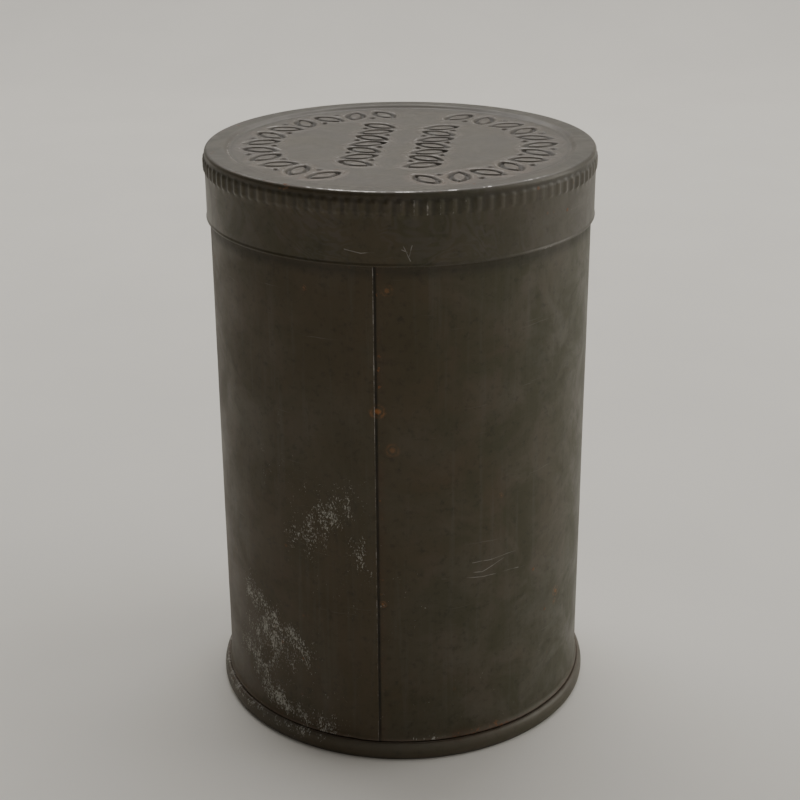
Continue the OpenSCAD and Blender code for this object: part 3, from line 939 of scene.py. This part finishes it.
def makeLid():
    t = lid["sheet"] / 2
    outer = offsetLine(lidOutside(), t)
    inner = offsetLine(lidInside(), -t)
    low = lidHigh[2] - lid["height"]
    # the hem is folded outward and pressed flat, so its foot is wider than the sheet
    foot = [(skirtMid + t + lid["hemOut"] - 0.04, low + 0.06), (skirtMid + t, low), (skirtMid, low),
            (skirtMid - t + 0.02, low + 0.07)]
    outline = np.vstack([outer, foot, inner[::-1]])
    outerRows = len(outer)
    columns = lid["ribs"] * lid["columnsPerRib"]
    angles = np.arange(columns) * 2 * math.pi / columns
    beadZ = lidHigh[2] - lid["beadDown"]
    chipNoise = fieldNoise(60 * np.cos(angles), 60 * np.sin(angles), np.zeros(columns), 1.3, 81)
    chipNoise = np.clip(0.5 + chipNoise, 0, 1)
    cache = {}

    def fields(r, theta):
        if not cache:
            cache["leaf"], cache["berry"] = ornamentField(r * np.cos(theta), r * np.sin(theta))
        return cache["leaf"], cache["berry"]

    def shape(r, z, theta, row):
        outside = row < outerRows
        top = outside & (r < panelR - 0.5) & (z > lidTop - 3)
        leafFar, berryFar = fields(r, theta)
        pressed = pressDepth(leafFar, berryFar) * top
        # the panel sags and ripples a little
        ripple = lid["sag"] * coarseNoise(theta, r, 60, 26, 21) * smooth(r, 4, 24) * (1 - smooth(r, 50, 57))
        z = z + pressed + ripple * top
        # ribs of the knurl, worn flatter in places
        turn = turnOf(theta, -90)
        level = np.zeros_like(r)
        worn = 0.74 + 0.26 * np.clip(coarseNoise(theta, level, 60, 20, 31) * 1.6, -1, 1)
        worn = worn * (1 - 0.50 * bump(turn, -34, 12)) * (1 - 0.78 * bump(turn, 40, 15))
        ribs = np.clip(np.cos(theta * lid["ribs"]) * 1.25, -0.45, 1)
        window = 1 - smooth(np.abs(z - beadZ), lid["ribHeight"] * 0.36, lid["ribHeight"] * 0.56)
        skirt = outside & (r > skirtMid - 0.2) & (z < lidTop - 1)
        r = r + lid["ribOut"] * ribs * window * worn * skirt
        r = r + lid["hemOut"] * (1 - smooth(z, low + 0.3, low + lid["hemHeight"])) * outside * (z < low + 2)
        # the skirt is not quite true
        drop = smooth(lidHigh[2] - z, 6, 20)
        r = r + lid["outOfTrue"] * coarseNoise(theta, z, 66, 30, 41) * drop * skirt
        # small dings along the top corner
        corner = smooth(r, 63.8, 65.2) * smooth(z, lidTop - 2.2, lidTop - 0.6)
        ding = np.clip(coarseNoise(theta, level, 66, 9, 51) - 0.35, 0, 1)
        z = z - lid["ding"] * ding * corner * outside
        return r, z

    def marks(r, z, theta, row):
        outside = row < outerRows
        d, berryFar = fields(r, theta)
        inside = ~outside
        turn = turnOf(theta, -90)
        front = smooth(-r * np.sin(theta), 10, 58)
        top = outside & (z > lidTop - 1.6) & (r < 65.4)
        panel = top & (r < panelR)
        half = ornament["groove"] / 2
        groove = (1 - smooth(np.abs(d + half), half * 0.3, half * 1.1)) * panel
        groove = np.maximum(groove, (1 - smooth(berryFar, 0.3, 1.5)) * panel)
        islands = smooth(-d, ornament["groove"] - 0.2, ornament["groove"] + 0.5) * panel
        shoulder = bump(d, 0.75, 0.7) * panel
        broken = 0.5 + 0.5 * coarseNoise(theta, r, 60, 17, 61)
        chips = np.interp(theta, angles, chipNoise)

        # bare metal: a broken painted highlight along the top's front edge, then worn ornament, knurl and
        # hem, and the panel step
        edge = bump(r, 64.95, 0.45) * smooth(z, lidTop - 1.6, lidTop - 0.2) * outside
        frontEdgeHighlight = smooth(turn, -31, -24) * (1 - smooth(turn, 14, 21)) * (0.75 + 0.45 * chips)
        frontEdgeHighlight = frontEdgeHighlight + 1.9 * bump(turn, 23, 5) * chips + bump(turn, 39, 9) * (0.5 + 0.5 * chips)
        wear = edge * (0.14 + 0.16 * front * broken + 0.50 * frontEdgeHighlight) + islands * 0.48
        wear = wear + shoulder * 0.56
        crisp = 1 - 0.85 * bump(turn, 41, 15)
        knurl = outside & (np.abs(z - beadZ) < 2.6) & (r > skirtMid - 0.3)
        crest = np.clip(np.cos(theta * lid["ribs"]), 0, 1) * crisp
        # knurl crests: worn bare metal, with a painted highlight that is stronger toward the front
        wear = wear + knurl * crest * (0.32 + 0.26 * bump(turn, 8, 18))
        hem = outside & (z < low + 0.4)
        wear = wear + hem * (0.30 + 0.24 * broken)
        # panel step: worn bare metal all round, with a painted highlight on its left side
        wear = wear + panel * bump(r, panelR - 0.4, 0.7) * (0.30 + 0.32 * bump(turn, -75, 45))

        # dry tan dust round the ornament
        tan = panel * bump(d, 1.2, 1.5) * (0.25 + 0.55 * front) + islands * (0.15 + 0.45 * front)
        tan = tan * (0.35 + 0.65 * broken) * (1 - groove)

        # dirt with painted shade in the grooves, between the ribs and at the foot of the panel step, a
        # painted shadow under the top corner, and dirt on the outer ring
        grime = groove * 0.75 + knurl * 0.50 * np.clip(-np.cos(theta * lid["ribs"]), 0, 1) * crisp
        grime = grime + bump(r, panelR - 1.6, 0.5) * panel * 0.35
        skirt = outside & (z < lidTop - 1.2)
        grime = grime + 0.5 * skirt * bump(z, lidHigh[2] - 1.9, 0.7)
        rim = smooth(r, 58.6, 60.4) * top * (1 - 0.65 * front)
        grime = grime + 0.30 * rim

        # rust round the ornament toward the front, and on the corner at the left
        rust = 0.45 * front * (groove + shoulder) + 0.30 * front * bump(r, 58, 7) * top
        corner = smooth(z, lidTop - 2.4, lidTop - 1.0) * (r > 64.6) * outside
        rust = rust + 0.90 * corner * bump(turn, -34, 8) + 0.4 * corner * bump(turn, -58, 14)
        rust = rust + 0.35 * (islands + groove) * broken

        # a paler top than sides: partly grey patina, partly painted sky reflection; sides paler toward the
        # right, painted light from that side; the painted front-edge highlight paler too
        side = towardBack(turn, 0.10 + 0.40 * smooth(turn, 5, 70), 0.3)
        pale = np.where(top, 0.90 - 0.35 * rim, side)
        pale = np.maximum(pale, 0.35 * edge * (1 - bump(turn, -36, 10)))
        # the sides run brown to a lighter grey-green toward the right: partly patina colour, partly painted
        # light from that side
        tone = np.where(top, 0.6, towardBack(turn, 0.22 + 0.5 * smooth(turn, -15, 60), 0.45))
        return {
            "tone": tone, "rust": np.where(inside, 0.3, rust), "speck": np.zeros_like(r),
            "grime": np.where(inside, 0.05, grime), "wear": np.where(inside, 0.0, wear),
            "pale": np.where(inside, 0.7, pale), "tan": np.where(inside, 0, tan),
        }

    piece = spunPiece("lid_shell", outline, angles, shape, marks)
    piece.data.materials.append(lidFinish)
    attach(piece, "lid")
    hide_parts("lid_cover")


makeLid()
print("lid made")


# card liner

liner = {"edgeWave": 0.05, "rimMark": 63.5}


def makeLiner():
    low, high = linerLow[2], linerHigh[2]
    radius = linerHigh[0]
    edge = arcPoints((radius - 0.25, (low + high) / 2), 0.25, 75, -75, 6)
    line = joined(
        [(0, high)], linePoints((4, high), (radius - 0.5, high), 4), edge,
        linePoints((radius - 0.5, low), (4, low), 4), [(0, low)])

    def shape(r, z, theta, row):
        r = r + liner["edgeWave"] * coarseNoise(theta, np.zeros_like(z), 60, 7, 71) * smooth(r, 60, 64)
        z = z + 0.03 * coarseNoise(theta, r, 50, 18, 72) * smooth(r, 4, 20)
        return r, z

    def marks(r, z, theta, row):
        ring = bump(r, liner["rimMark"], 0.9) * (z < (low + high) / 2)
        return {"stain": 0.8 * ring + 0.25 * smooth(r, 62, 65)}

    piece = spunPiece("card_disc", line, np.radians(np.arange(0, 360, 1.5)), shape, marks, closed=False)
    piece.data.materials.append(cardFinish())
    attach(piece, "liner")
    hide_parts("lid_liner")


makeLiner()
print("liner made")


# floor, light and camera

studio = {
    "floorColour": (0.775, 0.748, 0.690),
    "light": (1.0, 0.975, 0.94), "front": 0.17, "back": 0.66, "right": 0.40, "left": 0.33,
    "floorSpan": 4.5, "bendStart": 1.0, "bendRadius": 0.5, "sweepTop": 2.6,     # metres
    "cameraPlace": (-0.0006, -0.5378, 0.3277), "pitch": 22.3, "roll": -0.37, "view": 27.78,
}
# place, aim, width and height in metres, watts
lamps = {
    "skyLight": ((-0.1, 1.25, 1.45), (0, 0, 0.15), (2.6, 1.5), 34),
    "rightLight": ((1.5, 0.25, 0.8), (0, 0, 0.12), (1.2, 1.4), 9),
}


def plainFinish(name, colour):
    mix = Mixer(name)
    soft = mix.cloud(9, 3, 0.5)
    tint = mix.over(mix.step(soft, 0.3, 0.7), colour, tuple(c * 0.97 for c in colour))
    return mix.finish(tint, 0.9, 0.0, 0.3)


def makeFloor():
    # flat, then one soft bend up into the backdrop
    span, start, bend = studio["floorSpan"], studio["bendStart"], studio["bendRadius"]
    run = [(-span, 0), (start, 0)]
    for a in np.linspace(0.1, math.pi / 2, 14):
        run.append((start + bend * math.sin(a), bend - bend * math.cos(a)))
    run += [(start + bend, studio["sweepTop"])]
    places, faces = [], []
    for y, z in run:
        places += [(-span, y, z), (span, y, z)]
    for i in range(len(run) - 1):
        faces.append([2 * i, 2 * i + 1, 2 * i + 3, 2 * i + 2])
    mesh = bpy.data.meshes.new("floor")
    mesh.from_pydata(places, [], faces)
    mesh.update()
    mesh.shade_smooth()
    floor = bpy.data.objects.new("floor", mesh)
    bpy.context.scene.collection.objects.link(floor)
    mesh.materials.append(plainFinish("floorFinish", studio["floorColour"]))


def softLight(name, place, aim, size, power):
    data = bpy.data.lights.new(name, "AREA")
    data.shape = "RECTANGLE"
    data.size, data.size_y = size
    data.energy = power
    lamp = bpy.data.objects.new(name, data)
    lamp.location = place
    lamp.rotation_euler = (Vector(aim) - Vector(place)).to_track_quat("-Z", "Y").to_euler()
    bpy.context.scene.collection.objects.link(lamp)


def makeSky():
    # a soft even room: darker before the tin and to its left, brighter behind it and to its right
    world = bpy.data.worlds.new("softRoom")
    bpy.context.scene.world = world
    world.use_nodes = True
    tree = world.node_tree
    back = tree.nodes["Background"]
    back.inputs["Color"].default_value = (*studio["light"], 1)
    parts = tree.nodes.new("ShaderNodeSeparateXYZ")
    tree.links.new(tree.nodes.new("ShaderNodeTexCoord").outputs["Generated"], parts.inputs[0])

    def ramp(axis, low, high, least, most):
        node = tree.nodes.new("ShaderNodeMapRange")
        node.interpolation_type = "SMOOTHSTEP"
        tree.links.new(parts.outputs[axis], node.inputs["Value"])
        for key, number in (("From Min", low), ("From Max", high), ("To Min", least), ("To Max", most)):
            node.inputs[key].default_value = number
        return node.outputs["Result"]

    def combined(kind, a, b):
        node = tree.nodes.new("ShaderNodeMath")
        node.operation = kind
        tree.links.new(a, node.inputs[0])
        tree.links.new(b, node.inputs[1])
        return node.outputs[0]

    depth = ramp("Y", -0.5, 0.8, studio["front"], studio["back"])
    shade = ramp("X", -1.0, 0.1, studio["left"], 1.0)
    value = combined("ADD", combined("MULTIPLY", depth, shade), ramp("X", -0.2, 1.0, 0.0, studio["right"]))
    tree.links.new(value, back.inputs["Strength"])


def makeCamera():
    data = bpy.data.cameras.new("camera")
    data.sensor_width = 36
    data.angle = math.radians(studio["view"])
    data.clip_start = 0.01
    camera = bpy.data.objects.new("camera", data)
    camera.location = studio["cameraPlace"]
    look = Matrix.Rotation(math.radians(90 - studio["pitch"]), 3, "X")
    camera.rotation_euler = (look @ Matrix.Rotation(math.radians(studio["roll"]), 3, "Z")).to_euler()
    bpy.context.scene.collection.objects.link(camera)
    bpy.context.scene.camera = camera


makeFloor()
for name, settings in lamps.items():
    softLight(name, *settings)
makeSky()
makeCamera()
print("floor, light and camera set")

bpy.context.view_layer.update()
